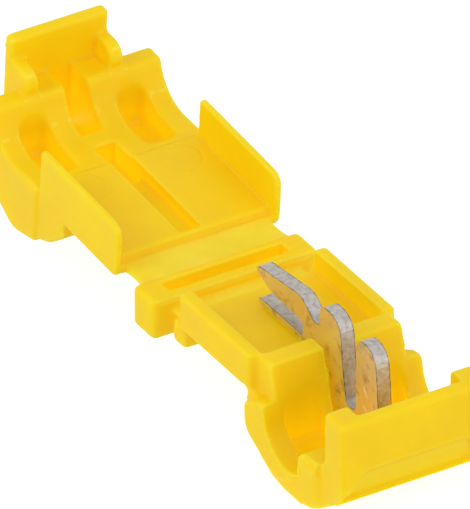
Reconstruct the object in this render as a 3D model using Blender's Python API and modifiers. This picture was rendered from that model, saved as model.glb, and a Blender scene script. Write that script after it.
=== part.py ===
"""Hinged T-tap wire connector, opened out flat: a one-piece nylon housing of
three sections (base, link bar, cover) joined by two moulded hinge webs, with a
stamped tin-plated contact pressed into the base. The cover's tab snaps inside
the base's end wall.

Section frame, in millimetres: X along the open connector from the cover (-X)
to the latch end of the base (+X), Y along the tapped wire, Z up, zero at the
middle of the link bar's top face. A root empty carries it to the model's
origin, which is the bottom centre of the open connector's box.
"""

import math

import bmesh
import bpy
from mathutils import Matrix, Vector

MM = 0.001

# ---- driving dimensions (mm, degrees) ----
ORIGIN_X = 0.4875                         # section X at the model's origin
BELLY_Z = -4.5                            # underside the connector rests on
GAP = 0.3                                 # room between pieces that touch

BAR_HALF_X, BAR_HALF_Y, BAR_Z = 1.0, 4.8, -2.3
SLOT_HALF_X, SLOT_HALF_Y = 0.42, 3.5      # passes a 6.35 x 0.8 mm male tab

HINGE_B = (1.38, -0.68)                   # base hinge line, X and Z
HINGE_A = (-1.70, -0.30)                  # cover hinge line, X and Z
COVER_TILT = 4.5                          # the open cover springs up by this much
WEB_T = 0.34
WEB_B_X, WEB_B_HALF_Y = (1.15, 1.6), 3.9
WEB_A_X, WEB_A_HALF_Y = (-2.05, -1.2), 4.15

TRAY_X0, TRAY_X1, TRAY_HALF_Y, TRAY_WALL = 2.5, 9.25, 4.28, 0.75
TRAY_Z0, TRAY_Z1 = -0.85, 1.25
LIP_X, LIP_HALF_Y, LIP_Z = (1.75, 3.0), 4.2, (-1.95, -0.6)
BLOCK_HALF_Y, BLOCK_FRONT, BLOCK_BACK = 3.82, 10.5, 12.5     # saddle blocks and where the bed cuts them
BELLY_HALF_Y, RIM_HALF_Y, RIM_END = 4.5, 4.62, 15.95         # belly, and the raised rim round its wire bed
NECK_X, NECK_Z = (8.9, 10.3), (-1.6, -0.7)                   # joins the tray's underside to the belly
BED_X, BED_Z, BED_R = 13.3, -0.9, 2.15    # wire bed of the base
LEDGE_Z = -1.25                           # floor between the wire bed and the latch cavity
BED_POCKET_Y, BED_POCKET_Z = (1.15, 3.4), -3.4
WALL_HALF_Y, WALL_X0, WALL_IN, WALL_OUT, WALL_TOP = 4.3, 16.2, 17.3, 18.0, 1.9
LATCH_X0, LATCH_HALF_Y, LATCH_Z = 15.2, 3.0, -2.6
CATCH_Z, CATCH_DEPTH, CATCH_RAMP = -1.05, 0.24, 0.45         # groove inside the end wall for the tab's barb
RECESS_HALF_Y, RECESS_Z, RECESS_X = 2.9, (-2.75, -1.05), 17.9
RECESS_SPREAD, RECESS_LEAN = 1.4, 0.5                        # how far its lower edge widens and leans in

COVER_HALF_Y, COVER_WALL, SADDLE_HALF_Y = 4.82, 0.4, 4.95
COVER_X1, COVER_Z0, COVER_FLOOR, COVER_TOP = -2.6, -0.9, 0.25, 2.4
SADDLE_X, SADDLE_Z, SADDLE_R = -12.15, 2.4, 2.35
BLOCK_TOP, BLOCK_X = 1.98, -15.65
POCKET_Y, POCKET_Z = (2.0, 3.7), (-1.3, 1.7)
TINE_HALF_Y, PRONG_HALF_Y = 0.62, 0.65    # half widths of the cover's channel and prong slot

TAB_X0, TAB_X1, TAB_HALF_Y, TAB_TOP = -17.0, -16.25, 2.85, 4.5
TAB_PIVOT = (-16.25, 1.98)
BARB, BARB_HALF_Y, BARB_Z = 0.36, 2.6, 3.35
GUSSET_X, GUSSET_R, GUSSET_TOP, GUSSET_T = -14.62, 0.85, 3.27, 0.76

CONTACT_T = 0.8
CONTACT_Z = -2.55                         # lower edge of the contact
CONTACT_BACK = 10.45                      # rear edge of the contact's lower half
CONTACT_FRONT = 15.2


def clear_scene():
    for obj in list(bpy.data.objects):
        bpy.data.objects.remove(obj, do_unlink=True)


def new_collection(name):
    collection = bpy.data.collections.new(name)
    bpy.context.scene.collection.children.link(collection)
    return collection


def plastic(name, colour, roughness, metallic=0.0):
    material = bpy.data.materials.new(name)
    material.use_nodes = True
    shader = material.node_tree.nodes["Principled BSDF"]
    shader.inputs["Base Color"].default_value = (*colour, 1.0)
    shader.inputs["Roughness"].default_value = roughness
    shader.inputs["Metallic"].default_value = metallic
    material.diffuse_color = (*colour, 1.0)
    return material


def empty(name, parent, x, z, tilt=0.0):
    """An empty on a hinge line; x and z are relative to the parent, in mm."""
    obj = bpy.data.objects.new(name, None)
    parts.objects.link(obj)
    obj.empty_display_size = 0.002
    obj.parent = parent
    obj.location = (x * MM, 0.0, z * MM)
    obj.rotation_euler = (0.0, math.radians(tilt), 0.0)
    return obj


def place(mesh, name, hinge, bevel=0.0, segments=2, cutter=False):
    """Put a mesh, drawn in the section frame, on its hinge's empty."""
    parent, (hx, hz) = hinge
    mesh.transform(Matrix.Translation((-hx * MM, 0.0, -hz * MM)))
    obj = bpy.data.objects.new(name, mesh)
    (cutters if cutter else parts).objects.link(obj)
    obj.parent = parent
    if cutter:
        obj.hide_render = True
        obj.display_type = 'WIRE'
    if bevel:
        edge = obj.modifiers.new("edge", 'BEVEL')
        edge.width = bevel * MM
        edge.segments = segments
        edge.limit_method = 'ANGLE'
        edge.angle_limit = math.radians(35)
    return obj


def box(name, hinge, x, y, z, **how):
    bm = bmesh.new()
    bmesh.ops.create_cube(bm, size=1.0)
    sides = (x, y, z)
    bmesh.ops.scale(bm, verts=bm.verts, vec=[(high - low) * MM for low, high in sides])
    bmesh.ops.translate(bm, verts=bm.verts, vec=[(high + low) * MM / 2 for low, high in sides])
    mesh = bpy.data.meshes.new(name)
    bm.to_mesh(mesh)
    bm.free()
    return place(mesh, name, hinge, **how)


def taper(obj, spread, lean):
    """Widen a box's underside along Y on each side and move its inner lower edge along -X."""
    low, near = min(v.co.z for v in obj.data.vertices), min(v.co.x for v in obj.data.vertices)
    for vertex in obj.data.vertices:
        if vertex.co.z < low + 1e-6:
            vertex.co.y += math.copysign(spread * MM, vertex.co.y)
            if vertex.co.x < near + 1e-6:
                vertex.co.x -= lean * MM
    return obj


def outline(name, hinge, points, half_y, middle_y=0.0, **how):
    """A flat XZ outline given thickness along Y, as a filled 2D curve made a mesh."""
    curve = bpy.data.curves.new(name, 'CURVE')
    curve.dimensions = '2D'
    curve.fill_mode = 'BOTH'
    curve.extrude = half_y * MM
    spline = curve.splines.new('POLY')
    spline.points.add(len(points) - 1)
    for point, (x, z) in zip(spline.points, points):
        point.co = (x * MM, z * MM, 0.0, 1.0)
    spline.use_cyclic_u = True
    flat = bpy.data.objects.new(name + "_outline", curve)
    parts.objects.link(flat)
    bpy.context.view_layer.update()
    evaluated = flat.evaluated_get(bpy.context.evaluated_depsgraph_get())
    mesh = bpy.data.meshes.new_from_object(evaluated)
    bm = bmesh.new()
    bm.from_mesh(mesh)
    bmesh.ops.remove_doubles(bm, verts=bm.verts, dist=1e-6)
    upright = Matrix.Rotation(math.radians(90), 3, 'X')
    bmesh.ops.rotate(bm, verts=bm.verts, cent=(0, 0, 0), matrix=upright)
    bmesh.ops.translate(bm, verts=bm.verts, vec=(0, middle_y * MM, 0))
    bmesh.ops.dissolve_limit(bm, angle_limit=math.radians(0.5), verts=bm.verts, edges=bm.edges)
    bmesh.ops.recalc_face_normals(bm, faces=bm.faces)
    bm.to_mesh(mesh)
    bm.free()
    mesh.materials.clear()
    bpy.data.objects.remove(flat, do_unlink=True)
    return place(mesh, name, hinge, **how)


def arc(cx, cz, radius, start, end, count):
    """Points on an arc in the XZ plane; angles in degrees from +X towards +Z."""
    angles = [math.radians(start + (end - start) * i / (count - 1)) for i in range(count)]
    return [(cx + radius * math.cos(a), cz + radius * math.sin(a)) for a in angles]


def rounded(corners, step=18.0):
    """Points of an outline; a corner is (x, z), or (x, z, radius) to round it with an arc."""
    points = []
    for i, corner in enumerate(corners):
        here, radius = Vector(corner[:2]), corner[-1]
        if len(corner) == 2:
            points.append(tuple(here))
            continue
        before = (Vector(corners[i - 1][:2]) - here).normalized()
        after = (Vector(corners[(i + 1) % len(corners)][:2]) - here).normalized()
        half = before.angle(after) / 2
        centre = here + (before + after).normalized() * radius / math.sin(half)
        start = here + before * radius / math.tan(half) - centre
        end = here + after * radius / math.tan(half) - centre
        turn = math.atan2(start.x * end.y - start.y * end.x, start.dot(end))
        count = max(2, round(abs(math.degrees(turn)) / step))
        first = math.atan2(start.y, start.x)
        for k in range(count + 1):
            angle = first + turn * k / count
            points.append((centre.x + radius * math.cos(angle), centre.y + radius * math.sin(angle)))
    return points


def both_sides(low, high):
    """The near (-Y) and far (+Y) copy of a span across the connector."""
    return (("near", (-high, -low)), ("far", (low, high)))


def apply_to(host, tool, operation):
    modifier = host.modifiers.new(tool.name, 'BOOLEAN')
    modifier.operation = operation
    modifier.solver = 'EXACT'
    modifier.object = tool


def finish(obj, material):
    obj.data.materials.append(material)
    obj.data.shade_smooth()
    obj.data.set_sharp_from_angle(angle=math.radians(40))


clear_scene()
parts = new_collection("t_tap_connector")
cutters = new_collection("cutters")

yellow = plastic("yellow_nylon", (0.93, 0.60, 0.012), 0.42)
web_yellow = plastic("web_nylon", (0.90, 0.56, 0.012), 0.45)
tin = plastic("tin_plate", (0.66, 0.62, 0.55), 0.34, 1.0)

root = empty("connector_origin", None, -ORIGIN_X, -BELLY_Z)
hinge_b_empty = empty("hinge_base_bar", root, *HINGE_B)
hinge_a_empty = empty("hinge_bar_cover", hinge_b_empty,
                      HINGE_A[0] - HINGE_B[0], HINGE_A[1] - HINGE_B[1], COVER_TILT)
tab_empty = empty("hinge_cover_tab", hinge_a_empty, TAB_PIVOT[0] - HINGE_A[0], TAB_PIVOT[1] - HINGE_A[1])
fixed = (root, (0.0, 0.0))
hinge_b = (hinge_b_empty, HINGE_B)
hinge_a = (hinge_a_empty, HINGE_A)
hinge_tab = (tab_empty, TAB_PIVOT)

# ---- base: floor tray, wire bed, end wall ----
base = box("base_housing", fixed, (TRAY_X0, TRAY_X1), (-TRAY_HALF_Y, TRAY_HALF_Y), (TRAY_Z0, TRAY_Z1),
           bevel=0.25)
belly = outline("base_belly", fixed, rounded([
    (TRAY_X1 + 0.03, -1.25), (TRAY_X1 + 0.03, -2.75, 1.0), (11.7, BELLY_Z, 3.75), (15.12, BELLY_Z, 1.7),
    (17.9, -2.65, 1.2), (17.9, -1.2), (14.0, -0.9), (11.0, -0.55), (10.4, -0.6)]),
    BELLY_HALF_Y, cutter=True, bevel=0.15)
rim = outline("bed_rim", fixed, rounded([
    (TRAY_X1, -1.25), (TRAY_X1, -2.75, 1.0), (12.7, -4.38, 1.9), (14.9, -2.2, 0.4), (RIM_END, -1.95, 0.15),
    (RIM_END, -1.7), (14.8, -1.2), (11.0, -0.6), (10.4, -0.65)]),
    RIM_HALF_Y, cutter=True, bevel=0.12)
blocks = outline("base_blocks", fixed, [
    (9.0, -0.7), (9.35, -0.7), (9.35, -2.2), (BLOCK_BACK, -2.2), (BLOCK_BACK, TRAY_Z1 - 0.01),
    (9.0, TRAY_Z1 - 0.01)], BLOCK_HALF_Y, cutter=True, bevel=0.2)
neck_half_y = TRAY_HALF_Y - 0.02
neck = box("base_neck", fixed, NECK_X, (-neck_half_y, neck_half_y), NECK_Z, cutter=True, bevel=0.1)
end_wall = box("base_end_wall", fixed, (WALL_X0, WALL_OUT), (-WALL_HALF_Y, WALL_HALF_Y), (-2.3, WALL_TOP),
               cutter=True, bevel=0.3)
lip = box("base_lip", fixed, LIP_X, (-LIP_HALF_Y, LIP_HALF_Y), LIP_Z, cutter=True, bevel=0.3)
for piece in (belly, rim, blocks, neck, end_wall, lip):
    apply_to(base, piece, 'UNION')

# the belly's sides stand flush with the end wall in front of the rim
side_relief = [box(f"side_relief_{side}", fixed, (RIM_END, 19.0), span, (-6.0, -0.5), cutter=True)
               for side, span in both_sides(WALL_HALF_Y + 0.01, 6.0)]
tray_inside = TRAY_HALF_Y - TRAY_WALL
tray_pocket = box("tray_pocket", fixed, (1.5, 9.3), (-tray_inside, tray_inside), (0.0, 3.0),
                  cutter=True, bevel=0.12)
bed = outline("wire_bed", fixed, [(BLOCK_FRONT, 3.0), (BLOCK_FRONT, 1.15), (10.95, -0.4)]
              + arc(BED_X, BED_Z, BED_R, 185, 296, 12)
              + [(14.4, -1.6), (14.8, LEDGE_Z), (WALL_X0, LEDGE_Z), (WALL_X0, 3.0)], 6.0, cutter=True)
bed_pockets = [box(f"bed_pocket_{side}", fixed, (10.95, 13.9), span, (BED_POCKET_Z, -0.1),
                   cutter=True, bevel=0.35) for side, span in both_sides(*BED_POCKET_Y)]
latch_cavity = box("latch_cavity", fixed, (LATCH_X0, WALL_IN), (-LATCH_HALF_Y, LATCH_HALF_Y), (LATCH_Z, 3.0),
                   cutter=True, bevel=0.12)
catch_x = WALL_IN + CATCH_DEPTH
latch_catch = outline("latch_catch", fixed, [
    (WALL_IN - 0.5, CATCH_Z), (catch_x, CATCH_Z), (catch_x, CATCH_Z - CATCH_RAMP),
    (WALL_IN - 0.02, CATCH_Z - 2 * CATCH_RAMP), (WALL_IN - 0.5, CATCH_Z - 2 * CATCH_RAMP)],
    LATCH_HALF_Y - 0.1, cutter=True)
recess = taper(box("wall_recess", fixed, (RECESS_X, 19.0), (-RECESS_HALF_Y, RECESS_HALF_Y), RECESS_Z,
                   cutter=True), RECESS_SPREAD, RECESS_LEAN)
slot_half_y = CONTACT_T / 2 + GAP
slot_end = CONTACT_FRONT + GAP
contact_slot = box("contact_slot", fixed, (8.45, slot_end), (-slot_half_y, slot_half_y), (-0.4, 3.0),
                   cutter=True)
contact_well = box("contact_well", fixed, (CONTACT_BACK - GAP, slot_end), (-slot_half_y, slot_half_y),
                   (CONTACT_Z - GAP, 0.5), cutter=True)
for piece in (*side_relief, tray_pocket, bed, *bed_pockets, latch_cavity, latch_catch, recess,
              contact_slot, contact_well):
    apply_to(base, piece, 'DIFFERENCE')
finish(base, yellow)

# ---- contact: one flat stamping, fork at -X, wire slot between the two prongs ----
contact = outline("tap_contact", fixed, rounded([
    # fork: lower tine, parallel slot for the male tab, upper tine with a flared tip
    (3.8, 0.12, 0.16), (3.8, 0.46, 0.16), (8.0, 0.46, 0.2), (8.0, 1.28, 0.3), (5.0, 1.38, 0.8),
    (3.52, 1.92, 0.22), (3.72, 2.22, 0.22), (7.8, 2.70, 1.1), (8.95, 1.88, 0.4), (9.45, 1.88, 0.18),
    # rear prong, wire slot, front prong
    (9.62, 3.2, 0.55), (11.45, 3.2, 1.1), (11.72, 0.6, 3.0), (12.05, -1.27, 0.4), (13.0, -1.27, 0.42),
    (13.0, 3.15, 0.6), (14.72, 3.15, 1.0), (14.95, 1.0, 3.0),
    # lower half, which stands in the base
    (CONTACT_FRONT, CONTACT_Z, 0.25), (CONTACT_BACK, CONTACT_Z, 0.25), (CONTACT_BACK, -0.1, 0.1),
    (8.75, -0.1, 0.1), (8.5, 0.12)]), CONTACT_T / 2, bevel=0.06, segments=1)
finish(contact, tin)

# ---- link bar with the slot a male tab passes through ----
bar = box("link_bar", hinge_b, (-BAR_HALF_X, BAR_HALF_X), (-BAR_HALF_Y, BAR_HALF_Y), (BAR_Z, 0.0),
          bevel=0.3, segments=3)
tab_slot = box("tab_slot", hinge_b, (-SLOT_HALF_X, SLOT_HALF_X), (-SLOT_HALF_Y, SLOT_HALF_Y),
               (BAR_Z - 1, 1.0), cutter=True, bevel=0.1)
apply_to(bar, tab_slot, 'DIFFERENCE')
finish(bar, yellow)

# ---- cover: side walls, floor and wire saddle, then hollowed ----
cover = outline("cover_housing", hinge_a, rounded([
    (-10.5, -0.3), (-10.05, 0.0), (-10.05, COVER_TOP, 0.18), (COVER_X1, COVER_TOP, 0.7),
    (COVER_X1, COVER_Z0, 0.8), (-7.0, COVER_Z0, 0.5), (-8.9, -2.6, 1.5), (-11.0, -3.5)]),
    COVER_HALF_Y, bevel=0.15)
saddle = outline("cover_saddle", hinge_a, rounded([
    (-10.05, 0.12), (-10.05, -3.23), (-12.2, -3.78, 1.2), (BLOCK_X, -1.9, 0.3), (BLOCK_X, BLOCK_TOP),
    (-14.5, BLOCK_TOP)]) + arc(SADDLE_X, SADDLE_Z, SADDLE_R, 197, 270, 9),
    SADDLE_HALF_Y, cutter=True, bevel=0.18)
apply_to(cover, saddle, 'UNION')
cover_inside = COVER_HALF_Y - COVER_WALL
cover_pocket = box("cover_pocket", hinge_a, (-10.4, -2.8), (-cover_inside, cover_inside), (COVER_FLOOR, 4.0),
                   cutter=True)
hinge_step = box("hinge_step", hinge_a, (-3.1, -1.5), (-cover_inside, cover_inside), (-0.12, 4.0),
                 cutter=True)
edge_relief = [box(f"edge_relief_{side}", hinge_a, (-7.6, -2.0), span, (-1.5, -0.6), cutter=True)
               for side, span in both_sides(4.25, 6.0)]
channel = box("tine_channel", hinge_a, (-9.4, -3.5), (-TINE_HALF_Y, TINE_HALF_Y), (-0.62, 3.0), cutter=True)
prong_pocket = box("prong_pocket", hinge_a, (-11.75, -9.1), (-TINE_HALF_Y, TINE_HALF_Y), (-1.35, 3.0),
                   cutter=True)
prong_slot = box("prong_slot", hinge_a, (-16.0, -12.8), (-PRONG_HALF_Y, PRONG_HALF_Y), (-1.45, 3.0),
                 cutter=True)
saddle_pockets = [box(f"saddle_pocket_{side}", hinge_a, (-14.2, -10.75), span, POCKET_Z,
                      cutter=True, bevel=0.45, segments=3) for side, span in both_sides(*POCKET_Y)]
for piece in (cover_pocket, hinge_step, *edge_relief, channel, prong_pocket, prong_slot, *saddle_pockets):
    apply_to(cover, piece, 'DIFFERENCE')
finish(cover, yellow)

# ---- snap tab with its barb and two gussets ----
tab = box("snap_tab", hinge_tab, (TAB_X0, TAB_X1), (-TAB_HALF_Y, TAB_HALF_Y), (0.3, TAB_TOP), bevel=0.22)
barb = outline("tab_barb", hinge_tab, [
    (TAB_X0 + 0.2, 4.0), (TAB_X0, 4.0), (TAB_X0 - BARB, BARB_Z + 0.2), (TAB_X0 - BARB, BARB_Z),
    (TAB_X0 + 0.2, BARB_Z - 0.06)], BARB_HALF_Y, cutter=True)
apply_to(tab, barb, 'UNION')
gusset_foot = BLOCK_TOP + GAP
gusset_root = TAB_X1 - GAP
gusset_shape = ([(gusset_root, gusset_foot), (GUSSET_X, gusset_foot)]
                + arc(GUSSET_X - GUSSET_R, GUSSET_TOP - GUSSET_R, GUSSET_R, 0, 90, 6)
                + [(gusset_root, GUSSET_TOP)])
gusset_y = TAB_HALF_Y - GUSSET_T / 2 - 0.01
for side, sign in (("near", -1), ("far", 1)):
    gusset = outline(f"tab_gusset_{side}", hinge_tab, gusset_shape, GUSSET_T / 2, sign * gusset_y,
                     cutter=True, bevel=0.12)
    apply_to(tab, gusset, 'UNION')
finish(tab, yellow)

# ---- moulded hinge webs ----
web_b = box("hinge_web_base", hinge_b, WEB_B_X, (-WEB_B_HALF_Y, WEB_B_HALF_Y),
            (HINGE_B[1] - WEB_T / 2, HINGE_B[1] + WEB_T / 2), bevel=0.08, segments=1)
finish(web_b, web_yellow)
web_a = box("hinge_web_cover", hinge_a, WEB_A_X, (-WEB_A_HALF_Y, WEB_A_HALF_Y),
            (HINGE_A[1] - WEB_T / 2, HINGE_A[1] + WEB_T / 2), bevel=0.08, segments=1)
finish(web_a, web_yellow)
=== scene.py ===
import math

import bmesh
import bpy
from mathutils import Matrix, Vector


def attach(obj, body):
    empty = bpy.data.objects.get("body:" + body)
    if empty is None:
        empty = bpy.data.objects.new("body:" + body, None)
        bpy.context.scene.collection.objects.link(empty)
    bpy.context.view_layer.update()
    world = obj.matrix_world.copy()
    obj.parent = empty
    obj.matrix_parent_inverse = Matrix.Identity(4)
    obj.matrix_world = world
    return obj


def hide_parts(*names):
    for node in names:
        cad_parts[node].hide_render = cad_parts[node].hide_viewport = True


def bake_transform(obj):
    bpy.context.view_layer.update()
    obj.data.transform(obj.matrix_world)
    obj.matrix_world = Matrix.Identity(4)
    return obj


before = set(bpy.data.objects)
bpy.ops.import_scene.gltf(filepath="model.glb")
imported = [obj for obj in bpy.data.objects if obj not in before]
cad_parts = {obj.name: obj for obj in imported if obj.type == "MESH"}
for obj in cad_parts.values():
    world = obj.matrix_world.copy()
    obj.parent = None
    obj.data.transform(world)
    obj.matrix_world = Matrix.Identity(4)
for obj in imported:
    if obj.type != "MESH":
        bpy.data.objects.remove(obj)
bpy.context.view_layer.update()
print("frame loaded:", sorted(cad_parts))

mm = 0.001
scene = bpy.context.scene
scene.view_settings.view_transform = 'Standard'

# The connector's own axes, in mm: X along it, zero at the middle of the link bar's top
axes = {"originX": 0.4875, "bellyZ": -4.5, "hingeA": (-1.70, -0.30), "coverTilt": 4.5}


def place(x, y, z):
    return Vector(((x - axes["originX"]) * mm, y * mm, (z - axes["bellyZ"]) * mm))


def placeOnCover(x, y, z):
    hx, hz = axes["hingeA"]  # the open cover stands tilted about its hinge
    a = math.radians(axes["coverTilt"])
    dx, dz = x - hx, z - hz
    return place(hx + dx * math.cos(a) + dz * math.sin(a), y, hz - dx * math.sin(a) + dz * math.cos(a))


# Camera
camera = {"azimuth": 58.7, "elevation": 32.7, "lens": 1450.0, "tall": 25.198, "aim": (0.470, 0.594),
          "sensor": 36.0, "clip": (0.05, 20.0)}


def makeCamera():
    a, e = math.radians(camera["azimuth"]), math.radians(camera["elevation"])
    back = Vector((math.sin(a) * math.cos(e), -math.cos(a) * math.cos(e), math.sin(e)))
    right = Vector((math.cos(a), math.sin(a), 0.0))
    up = back.cross(right)
    data = bpy.data.cameras.new("studioCamera")
    data.sensor_width = camera["sensor"]
    data.lens = camera["lens"]
    data.clip_start, data.clip_end = camera["clip"]
    obj = bpy.data.objects.new("studioCamera", data)
    scene.collection.objects.link(obj)
    aim = place(0, 0, 0) + right * camera["aim"][0] * mm + up * camera["aim"][1] * mm
    distance = camera["tall"] * mm * camera["lens"] / data.sensor_width
    turn = Matrix((right, up, back)).transposed().to_4x4()
    obj.matrix_world = Matrix.Translation(aim + back * distance) @ turn
    scene.camera = obj


makeCamera()


# Shader helpers
def addNode(tree, kind, **values):
    node = tree.nodes.new(kind)
    for key, value in values.items():
        setattr(node, key, value)
    return node


def newGroup(name, inputs, outputs):
    group = bpy.data.node_groups.new(name, 'ShaderNodeTree')
    for label, kind, value in inputs:
        group.interface.new_socket(name=label, in_out='INPUT', socket_type=kind).default_value = value
    for label, kind in outputs:
        group.interface.new_socket(name=label, in_out='OUTPUT', socket_type=kind)
    return group, group.nodes.new('NodeGroupInput'), group.nodes.new('NodeGroupOutput')


def noise(tree, scaleFrom, coords, detail=3.0, roughness=0.5):
    node = addNode(tree, 'ShaderNodeTexNoise')
    node.inputs['Detail'].default_value = detail
    node.inputs['Roughness'].default_value = roughness
    tree.links.new(coords, node.inputs['Vector'])
    if isinstance(scaleFrom, float):
        node.inputs['Scale'].default_value = scaleFrom
    else:
        tree.links.new(scaleFrom, node.inputs['Scale'])
    return node.outputs['Fac']


def remap(tree, value, low, high, toLow=0.0, toHigh=1.0):
    node = addNode(tree, 'ShaderNodeMapRange', interpolation_type='SMOOTHSTEP')
    tree.links.new(value, node.inputs['Value'])
    for socket, number in zip(node.inputs[1:5], (low, high, toLow, toHigh)):
        socket.default_value = number
    return node.outputs['Result']


def mathNode(tree, operation, a, b):
    node = addNode(tree, 'ShaderNodeMath', operation=operation)
    for socket, value in zip(node.inputs, (a, b)):
        if isinstance(value, (int, float)):
            socket.default_value = value
        else:
            tree.links.new(value, socket)
    return node.outputs[0]


def mixColour(tree, factor, a, b):
    node = addNode(tree, 'ShaderNodeMix', data_type='RGBA')
    tree.links.new(factor, node.inputs[0])
    for socket, value in ((node.inputs[6], a), (node.inputs[7], b)):
        if isinstance(value, tuple):
            socket.default_value = value
        else:
            tree.links.new(value, socket)
    return node.outputs[2]


# Moulded nylon: painted highlights on the edges, painted shade in the hollows, soft mottling and a fine
# moulded grain
moulded = {"mottle": (3.0, 0.55), "grain": (2.0, 0.6), "hollowFrom": (0.64, 0.05), "edgeFrom": (0.505, 0.57),
           "edgeMost": 0.8, "edgeMottle": (0.3, 0.7, 0.6, 1.0), "shadeMottle": (0.25, 0.75, 0.97, 1.03),
           "roughMottle": (0.3, 0.7, -0.05, 0.06), "mottleHeight": 0.7, "grainHeight": 0.3}


def makeMouldedGroup():
    group, start, end = newGroup("mouldedSurface", [
        ("Body", 'NodeSocketColor', (0.9, 0.6, 0.01, 1)), ("Edge Highlight", 'NodeSocketColor', (0.95, 0.7, 0.05, 1)),
        ("Hollow", 'NodeSocketColor', (0.9, 0.4, 0.0, 1)), ("Glow", 'NodeSocketColor', (0.7, 0.6, 0.0, 1)),
        ("Mottle Scale", 'NodeSocketFloat', 300.0),
        ("Grain Scale", 'NodeSocketFloat', 6000.0), ("Hollow Reach", 'NodeSocketFloat', 0.0026),
        ("Roughness", 'NodeSocketFloat', 0.4)],
        [("Color", 'NodeSocketColor'), ("Roughness", 'NodeSocketFloat'), ("Height", 'NodeSocketFloat'),
         ("Inner Light", 'NodeSocketColor')])
    coords = addNode(group, 'ShaderNodeTexCoord').outputs['Object']
    geometry = addNode(group, 'ShaderNodeNewGeometry')
    mottle = noise(group, start.outputs['Mottle Scale'], coords, *moulded["mottle"])
    grain = noise(group, start.outputs['Grain Scale'], coords, *moulded["grain"])
    occlusion = addNode(group, 'ShaderNodeAmbientOcclusion', samples=8)
    group.links.new(start.outputs['Hollow Reach'], occlusion.inputs['Distance'])
    # painted shade: the occlusion mask tints recesses and creases towards the hollow colour; the same mask
    # places the inner glow
    shadedHollow = remap(group, occlusion.outputs['AO'], *moulded["hollowFrom"])
    # painted highlight: sharp rounded edges, found by pointiness, turn towards the paler edge colour, varied
    # by the mottle
    edge = remap(group, geometry.outputs['Pointiness'], *moulded["edgeFrom"], 0.0, moulded["edgeMost"])
    toned = mixColour(group, shadedHollow, start.outputs['Body'], start.outputs['Hollow'])
    edgeHighlight = mathNode(group, 'MULTIPLY', edge, remap(group, mottle, *moulded["edgeMottle"]))
    edged = mixColour(group, edgeHighlight, toned, start.outputs['Edge Highlight'])
    shade = addNode(group, 'ShaderNodeHueSaturation')
    group.links.new(edged, shade.inputs['Color'])
    group.links.new(remap(group, mottle, *moulded["shadeMottle"]), shade.inputs['Value'])
    group.links.new(shade.outputs['Color'], end.inputs['Color'])
    rough = mathNode(group, 'ADD', start.outputs['Roughness'], remap(group, mottle, *moulded["roughMottle"]))
    group.links.new(rough, end.inputs['Roughness'])
    height = mathNode(group, 'ADD', mathNode(group, 'MULTIPLY', mottle, moulded["mottleHeight"]),
                      mathNode(group, 'MULTIPLY', grain, moulded["grainHeight"]))
    group.links.new(height, end.inputs['Height'])
    lit = mixColour(group, shadedHollow, (0, 0, 0, 1), start.outputs['Glow'])
    group.links.new(lit, end.inputs['Inner Light'])
    return group


mouldedSurface = makeMouldedGroup()
# the edge colour is a painted highlight, the hollow colour is painted shade in recesses, and the glow is
# painted light in them
nylon = {"body": (0.92, 0.635, 0.001, 1), "edge": (0.94, 0.71, 0.05, 1), "shadedHollow": (0.92, 0.62, 0.0, 1),
         "glow": (0.70, 0.60, 0.004, 1), "rough": 0.48, "bump": 0.00001, "bumpStrength": 0.6,
         "innerLight": 0.36, "gloss": 0.22, "depth": 0.6, "scatter": 0.0012, "scatterTint": (1.0, 0.65, 0.05)}


def nylonMaterial(name, mottleScale, hollowReach):
    material = bpy.data.materials.new(name)
    material.use_nodes = True
    tree = material.node_tree
    shader = tree.nodes["Principled BSDF"]
    surface = addNode(tree, 'ShaderNodeGroup', node_tree=mouldedSurface)
    for key, label in (("body", "Body"), ("edge", "Edge Highlight"), ("shadedHollow", "Hollow"), ("glow", "Glow")):
        surface.inputs[label].default_value = nylon[key]
    surface.inputs["Mottle Scale"].default_value = mottleScale
    surface.inputs["Hollow Reach"].default_value = hollowReach
    surface.inputs["Roughness"].default_value = nylon["rough"]
    bump = addNode(tree, 'ShaderNodeBump')
    bump.inputs['Strength'].default_value = nylon["bumpStrength"]
    bump.inputs['Distance'].default_value = nylon["bump"]
    tree.links.new(surface.outputs['Color'], shader.inputs['Base Color'])
    tree.links.new(surface.outputs['Roughness'], shader.inputs['Roughness'])
    # a faint glow stands in for the light that the walls carry into the hollows
    tree.links.new(surface.outputs['Inner Light'], shader.inputs['Emission Color'])
    shader.inputs['Emission Strength'].default_value = nylon["innerLight"]
    tree.links.new(surface.outputs['Height'], bump.inputs['Height'])
    tree.links.new(bump.outputs['Normal'], shader.inputs['Normal'])
    shader.inputs['Specular IOR Level'].default_value = nylon["gloss"]
    shader.inputs['Subsurface Weight'].default_value = nylon["depth"]
    shader.inputs['Subsurface Radius'].default_value = nylon["scatterTint"]
    shader.inputs['Subsurface Scale'].default_value = nylon["scatter"]
    return material


housingNylon = nylonMaterial("housingNylon", 330.0, 0.0048)
coverNylon = nylonMaterial("coverNylon", 290.0, 0.0028)
barNylon = nylonMaterial("barNylon", 420.0, 0.0018)
webNylon = nylonMaterial("webNylon", 600.0, 0.0018)


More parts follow.
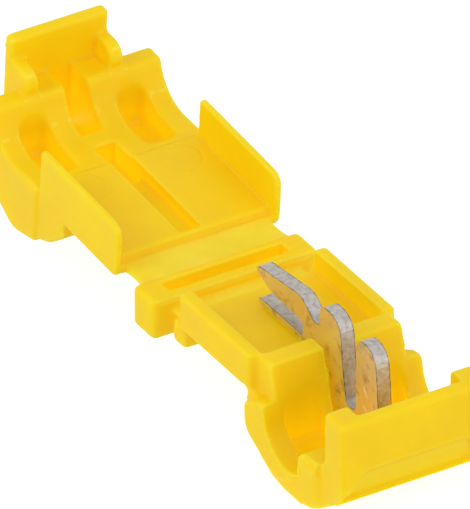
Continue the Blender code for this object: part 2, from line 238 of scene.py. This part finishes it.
# Sheared strip: smooth plated faces, torn silver edges, a dark burr line between the two
# the dent keys place painted highlights: near-white crescents on the upper right of two press-mark rings,
# with the metal dulled under them
tinPlate = {"face": (0.80, 0.71, 0.52, 1), "pit": (0.52, 0.41, 0.25, 1), "sheared": (0.62, 0.59, 0.55, 1),
            "torn": (0.42, 0.39, 0.35, 1), "burr": (0.13, 0.09, 0.05, 1), "faceTurn": (0.75, 0.95),
            "faceRough": 0.36, "shearedRough": 0.5, "pitRough": (0.3, 0.7, -0.05, 0.08),
            "faceMetal": 0.96, "shearedMetal": 0.7, "bump": 0.00005, "bumpStrength": 0.8, "faceHeight": 0.02,
            "burrFrom": (0.00034, 0.00037), "burrTorn": (0.35, 0.62, 1.0, 0.55),
            "tearScale": 3400.0, "tearFrom": (0.30, 0.62), "pitScale": 1500.0, "pitFrom": (0.50, 0.74),
            "dents": ((13.3, 0.0), (13.3, -1.05)), "dentR": 0.7, "dentWidth": 0.07, "dentRight": (0.25, 0.5),
            "dentUpper": (0.05, 0.3), "dentDull": 0.6, "dentGlint": (1.0, 0.97, 0.9, 1)}


def tinMaterial():
    material = bpy.data.materials.new("tinPlate")
    material.use_nodes = True
    tree = material.node_tree
    shader = tree.nodes["Principled BSDF"]
    coords = addNode(tree, 'ShaderNodeTexCoord').outputs['Object']
    split = addNode(tree, 'ShaderNodeSeparateXYZ')
    tree.links.new(coords, split.inputs[0])
    across = mathNode(tree, 'ABSOLUTE', split.outputs['Y'], 0.0)
    normalParts = addNode(tree, 'ShaderNodeSeparateXYZ')
    tree.links.new(addNode(tree, 'ShaderNodeNewGeometry').outputs['True Normal'], normalParts.inputs[0])
    facing = mathNode(tree, 'ABSOLUTE', normalParts.outputs['Y'], 0.0)
    face = remap(tree, facing, *tinPlate["faceTurn"])
    chamfer = remap(tree, across, *tinPlate["burrFrom"])
    tear = noise(tree, tinPlate["tearScale"], coords, 5.0, 0.65)
    ragged = remap(tree, tear, *tinPlate["burrTorn"])
    burr = mathNode(tree, 'MULTIPLY', mathNode(tree, 'MULTIPLY', chamfer, ragged),
                    mathNode(tree, 'SUBTRACT', 1.0, face))
    pits = noise(tree, tinPlate["pitScale"], coords, 4.0, 0.6)
    sheared = mixColour(tree, remap(tree, tear, *tinPlate["tearFrom"]), tinPlate["torn"], tinPlate["sheared"])
    faced = mixColour(tree, remap(tree, pits, *tinPlate["pitFrom"]), tinPlate["face"], tinPlate["pit"])
    pressGlint = None
    for dentX, dentZ in tinPlate["dents"]:  # painted highlights on the rims of the rings left by the press
        x, z = dentX - axes["originX"], dentZ - axes["bellyZ"]
        far = addNode(tree, 'ShaderNodeVectorMath', operation='DISTANCE')
        flat = addNode(tree, 'ShaderNodeCombineXYZ')
        tree.links.new(split.outputs['X'], flat.inputs[0])
        tree.links.new(split.outputs['Z'], flat.inputs[2])
        tree.links.new(flat.outputs[0], far.inputs[0])
        far.inputs[1].default_value = (x * mm, 0.0, z * mm)
        offset = mathNode(tree, 'SUBTRACT', far.outputs['Value'], tinPlate["dentR"] * mm)
        away = mathNode(tree, 'ABSOLUTE', offset, 0.0)
        line = remap(tree, away, tinPlate["dentWidth"] * mm, 0.0)
        right = remap(tree, split.outputs['X'], *((x + step) * mm for step in tinPlate["dentRight"]))
        upper = remap(tree, split.outputs['Z'], *((z + step) * mm for step in tinPlate["dentUpper"]))
        mark = mathNode(tree, 'MULTIPLY', line, mathNode(tree, 'MULTIPLY', right, upper))
        pressGlint = mark if pressGlint is None else mathNode(tree, 'MAXIMUM', pressGlint, mark)
    faced = mixColour(tree, pressGlint, faced, tinPlate["dentGlint"])
    base = mixColour(tree, face, sheared, faced)
    tree.links.new(mixColour(tree, burr, base, tinPlate["burr"]), shader.inputs['Base Color'])
    plain = remap(tree, face, 0.0, 1.0, tinPlate["shearedRough"], tinPlate["faceRough"])
    rough = mathNode(tree, 'ADD', plain, remap(tree, pits, *tinPlate["pitRough"]))
    tree.links.new(rough, shader.inputs['Roughness'])
    height = mathNode(tree, 'MULTIPLY', tear, remap(tree, face, 0.0, 1.0, 1.0, tinPlate["faceHeight"]))
    bump = addNode(tree, 'ShaderNodeBump')
    bump.inputs['Strength'].default_value = tinPlate["bumpStrength"]
    bump.inputs['Distance'].default_value = tinPlate["bump"]
    tree.links.new(height, bump.inputs['Height'])
    tree.links.new(bump.outputs['Normal'], shader.inputs['Normal'])
    metal = remap(tree, face, 0.0, 1.0, tinPlate["shearedMetal"], tinPlate["faceMetal"])
    dull = mathNode(tree, 'MULTIPLY', pressGlint, tinPlate["dentDull"])
    tree.links.new(mathNode(tree, 'SUBTRACT', metal, dull), shader.inputs['Metallic'])
    return material


tin = tinMaterial()
print("materials made")


# Mesh helpers
def linked(name, mesh):
    obj = bpy.data.objects.new(name, mesh)
    scene.collection.objects.link(obj)
    return obj


def addBlock(bm, x, y, z, where=place):
    corners = [bm.verts.new(where(cx, cy, cz)) for cx in x for cy in y for cz in z]
    for face in ((0, 1, 3, 2), (4, 6, 7, 5), (0, 4, 5, 1), (2, 3, 7, 6), (0, 2, 6, 4), (1, 5, 7, 3)):
        bm.faces.new([corners[i] for i in face])


def applyAll(obj):
    evaluated = obj.evaluated_get(bpy.context.evaluated_depsgraph_get())
    mesh = bpy.data.meshes.new_from_object(evaluated)
    obj.modifiers.clear()
    obj.data = mesh


# Rounds a mesh further inside a box given in the piece's own axes; y counts from the middle both ways
def roundNear(mesh, region, where):
    (x0, x1), (y0, y1), (z0, z1), passes = region
    zero = where(0, 0, 0)
    ex, ez = (where(1, 0, 0) - zero) / mm, (where(0, 0, 1) - zero) / mm
    bm = bmesh.new()
    bm.from_mesh(mesh)
    chosen = []
    for vertex in bm.verts:
        local = (vertex.co - zero) / mm
        x, y, z = local.dot(ex), abs(local.y), local.dot(ez)
        if x0 < x < x1 and y0 <= y < y1 and z0 < z < z1:
            chosen.append(vertex)
    for _ in range(passes):
        bmesh.ops.smooth_vert(bm, verts=chosen, factor=0.5, use_axis_x=True, use_axis_y=True, use_axis_z=True)
    bm.to_mesh(mesh)
    bm.free()


# A moulding: the frame's solids and their root blocks run together, with every edge softened
def moulding(name, nodes, blocks, look):
    bm = bmesh.new()
    for node in nodes:
        bm.from_mesh(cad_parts[node].data)
    bmesh.ops.remove_doubles(bm, verts=bm.verts, dist=1e-7)
    for x, y, z, where in blocks:
        addBlock(bm, x, y, z, where)
    bmesh.ops.recalc_face_normals(bm, faces=bm.faces)
    mesh = bpy.data.meshes.new(name)
    bm.to_mesh(mesh)
    bm.free()
    obj = linked(name, mesh)
    remesh = obj.modifiers.new("skin", 'REMESH')
    remesh.mode = 'VOXEL'
    remesh.voxel_size = look["voxel"] * mm
    soften = obj.modifiers.new("soften", 'SMOOTH')
    soften.factor = 0.5
    soften.iterations = look["soften"]
    bpy.context.view_layer.update()
    applyAll(obj)
    for region in look["rounded"]:
        roundNear(obj.data, region, look["place"])
    obj.data.shade_smooth()
    obj.data.materials.clear()
    obj.data.materials.append(look["material"])
    print(name, len(obj.data.polygons), "faces")
    return obj


# Base
baseLook = {"voxel": 0.07, "soften": 9, "material": housingNylon, "place": place, "rounded": [
    ((10.4, 14.3), (0.75, 4.0), (-2.2, 0.0), 22),      # rims of the bed pockets
    ((9.3, 10.9), (0.4, 4.1), (0.3, 1.5), 10),         # saddle blocks' front edges
    ((8.5, 10.0), (3.3, 4.5), (-1.2, 1.1), 26),        # tray walls run into the blocks
    ((14.4, 17.4), (3.5, 4.7), (-4.6, -2.0), 60)]}     # belly's sides run into the end wall
baseMoulding = moulding("baseMoulding", ["base_housing"], [], baseLook)
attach(baseMoulding, "base")
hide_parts("base_housing")

# Link bar
barLook = {"voxel": 0.055, "soften": 6, "material": barNylon, "place": place, "rounded": []}
barMoulding = moulding("barMoulding", ["link_bar"], [], barLook)
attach(barMoulding, "bar")
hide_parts("link_bar")

# Cover with its snap tab, moulded in one: the root blocks close the room between the two solids
coverLook = {"voxel": 0.07, "soften": 11, "material": coverNylon, "place": placeOnCover,
             "rounded": [((-15.2, -10.0), (1.4, 4.4), (-0.5, 2.2), 30),      # saddle and its pockets' rims
                         ((-3.5, -2.2), (0, 4.5), (-0.6, 0.9), 18),          # the floor's end at the hinge
                         ((-16.1, -12.2), (0.3, 1.4), (0.2, 2.2), 14),       # the slot's upper edges
                         ((-16.6, -14.4), (1.6, 3.1), (1.7, 3.6), 14)],      # feet of the tab's ribs
             "markX": -8.8, "markY": 2.7, "markR": 1.1, "markWidth": 0.1, "markDepth": 0.03,
             "floorZ": 0.25, "floorReach": 0.12}
# The tab runs on down to the belly, and the humps and its ribs run back into it
rootBlocks = [((-16.95, -16.25), (-2.75, 2.75), (-1.7, 0.6), placeOnCover)]
for side in (-1, 1):
    hump = sorted((side * 0.66, side * 2.82))
    rib = sorted((side * 2.08, side * 2.84))
    rootBlocks += [((-16.45, -15.2), hump, (-1.6, 1.97), placeOnCover),
                   ((-16.45, -14.72), rib, (1.6, 2.7), placeOnCover)]
coverMoulding = moulding("coverMoulding", ["cover_housing", "snap_tab"], rootBlocks, coverLook)


# Two shallow rings on the cover's floor, left by the ejector pins
def pressEjectorMarks():
    toWorld = placeOnCover(0, 0, 0)
    ex = (placeOnCover(1, 0, 0) - toWorld).normalized()
    ez = (placeOnCover(0, 0, 1) - toWorld).normalized()
    for vertex in coverMoulding.data.vertices:
        local = vertex.co - toWorld
        x, y, z = local.dot(ex) / mm, local.y / mm, local.dot(ez) / mm
        if abs(z - coverLook["floorZ"]) > coverLook["floorReach"]:
            continue
        away = abs(math.hypot(x - coverLook["markX"], abs(y) - coverLook["markY"]) - coverLook["markR"])
        if away < coverLook["markWidth"]:
            depth = coverLook["markDepth"] * (1 - away / coverLook["markWidth"])
            vertex.co -= ez * depth * mm


pressEjectorMarks()
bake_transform(coverMoulding)
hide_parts("cover_housing", "snap_tab")


# Hinge webs: thin necked strips that join one section to the next
webEdge = {"width": 0.06, "segments": 3, "angle": 50}


def hingeWeb(name, look):
    bm = bmesh.new()
    rows = []
    for i in range(look["across"] + 1):
        t = i / look["across"]
        x = look["x"][0] + (look["x"][1] - look["x"][0]) * t
        middle = look["z"][0] + (look["z"][1] - look["z"][0]) * t
        half = look["half"] * (1 + look["swell"] * (2 * t - 1) ** 2)
        rim = look["halfY"] - look["waist"] * math.sin(math.pi * t)
        low, high = middle - half, middle + half
        ring = [(x, -rim, low), (x, rim, low), (x, rim, high), (x, -rim, high)]
        rows.append([bm.verts.new(place(*p)) for p in ring])
    for a, b in zip(rows, rows[1:]):
        for k in range(4):
            bm.faces.new((a[k], a[(k + 1) % 4], b[(k + 1) % 4], b[k]))
    bm.faces.new(rows[0])
    bm.faces.new(rows[-1])
    bmesh.ops.recalc_face_normals(bm, faces=bm.faces)
    mesh = bpy.data.meshes.new(name)
    bm.to_mesh(mesh)
    bm.free()
    obj = linked(name, mesh)
    edge = obj.modifiers.new("edge", 'BEVEL')
    edge.width = webEdge["width"] * mm
    edge.segments = webEdge["segments"]
    edge.angle_limit = math.radians(webEdge["angle"])
    applyAll(obj)
    obj.data.shade_smooth()
    obj.data.materials.append(webNylon)
    return obj


coverWebLook = {"x": (-0.8, -2.95), "z": (-0.26, -0.24), "half": 0.15, "swell": 0.55, "halfY": 4.2,
                "waist": 0.05, "across": 24}
coverWeb = hingeWeb("coverWeb", coverWebLook)
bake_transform(coverWeb)
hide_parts("hinge_web_cover")

baseWebLook = {"x": (0.8, 2.1), "z": (-0.72, -0.84), "half": 0.15, "swell": 0.6, "halfY": 3.75,
               "waist": 0.1, "across": 24}
baseWeb = hingeWeb("baseWeb", baseWebLook)
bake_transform(baseWeb)
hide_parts("hinge_web_base")

# Contact: the frame's own node, in plated and sheared metal
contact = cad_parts["tap_contact"]
contact.data.materials.clear()
contact.data.materials.append(tin)
print("pieces made")

# Floor and light
studio = {"floor": (0.3, 0.3, 0.3, 1), "floorRough": 0.9, "floorGlow": 0.56, "floorSeen": 0.88,
          "floorSize": 4.0, "floorDrop": 0.00002, "world": 0.80,
          "lights": (("keyLight", 0.15, 0.20, (-0.05, -0.22, 0.13)),
                     ("fillLight", 0.16, 0.25, (0.24, 0.10, 0.12)))}


def makeStudio():
    mesh = bpy.data.meshes.new("studioFloor")
    bm = bmesh.new()
    bmesh.ops.create_grid(bm, x_segments=1, y_segments=1, size=studio["floorSize"])
    bm.to_mesh(mesh)
    bm.free()
    floor = linked("studioFloor", mesh)
    floor.location = (0, 0, -studio["floorDrop"])
    material = bpy.data.materials.new("paleFloor")
    material.use_nodes = True
    tree = material.node_tree
    shader = tree.nodes["Principled BSDF"]
    shader.inputs['Base Color'].default_value = studio["floor"]
    shader.inputs['Roughness'].default_value = studio["floorRough"]
    shader.inputs['Specular IOR Level'].default_value = 0.0
    shader.inputs['Emission Color'].default_value = (1, 1, 1, 1)
    seen = addNode(tree, 'ShaderNodeLightPath').outputs['Is Camera Ray']
    tree.links.new(remap(tree, seen, 0.0, 1.0, studio["floorGlow"], studio["floorSeen"]),
                   shader.inputs['Emission Strength'])
    mesh.materials.append(material)
    world = bpy.data.worlds.new("paleRoom")
    world.use_nodes = True
    world.node_tree.nodes["Background"].inputs[0].default_value = (1, 1, 1, 1)
    world.node_tree.nodes["Background"].inputs[1].default_value = studio["world"]
    scene.world = world
    for name, energy, size, spot in studio["lights"]:
        light = bpy.data.lights.new(name, 'AREA')
        light.energy = energy
        light.size = size
        obj = bpy.data.objects.new(name, light)
        scene.collection.objects.link(obj)
        obj.location = spot
        obj.rotation_euler = (-Vector(spot)).to_track_quat('-Z', 'Y').to_euler()


makeStudio()
print("studio made")
